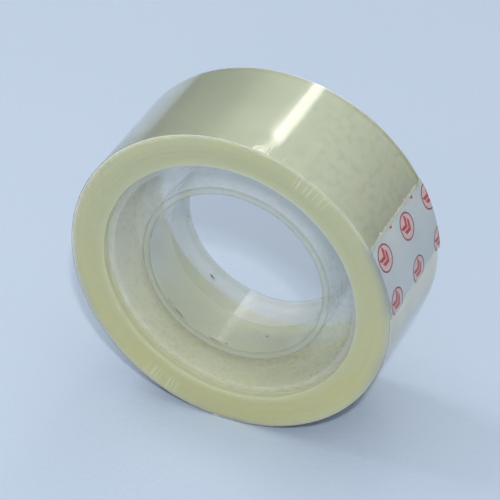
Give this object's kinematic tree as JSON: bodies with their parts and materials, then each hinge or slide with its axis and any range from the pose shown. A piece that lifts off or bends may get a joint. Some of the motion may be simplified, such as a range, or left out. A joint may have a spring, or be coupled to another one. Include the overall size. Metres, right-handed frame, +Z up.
{
  "type": "adhesive tape roll",
  "caption": "Roll of clear adhesive tape wound on a moulded plastic core, with a printed starter tab under its free end that lifts to start the tape.",
  "frame": {"origin": "middle of the core's bore, half way across the tape's width", "axes": "+Y along the roll's axis towards its back face, +Z up with the roll standing on its rim, +X to the right seen from the front face"},
  "size_m": [0.047, 0.018, 0.0468],
  "materials": {
    "core_plastic": "translucent natural plastic, moulded, lightly scuffed",
    "wound_tape": "clear film seen through many turns, pale yellow-green, smooth",
    "clear_film": "clear glossy film",
    "tab_film": "pale blue-white film, printed",
    "tab_ink": "red printing ink"
  },
  "bodies": {
    "roll": {"core": "core_plastic", "tape_winding": "wound_tape", "tape_outer_turn": "clear_film"},
    "free_end": {"tape_end": "clear_film", "end_tab": "tab_film"}
  },
  "joints": [
    {"name": "end_lift", "type": "hinge", "parent": "roll", "child": "free_end", "pos_m": [0.02045, 0, 0.01151], "axis": [0, -1, 0], "range_deg": [0, 120], "stiffness_Nm_per_rad": 0.00002, "springref_deg": -11.46}
  ]
}
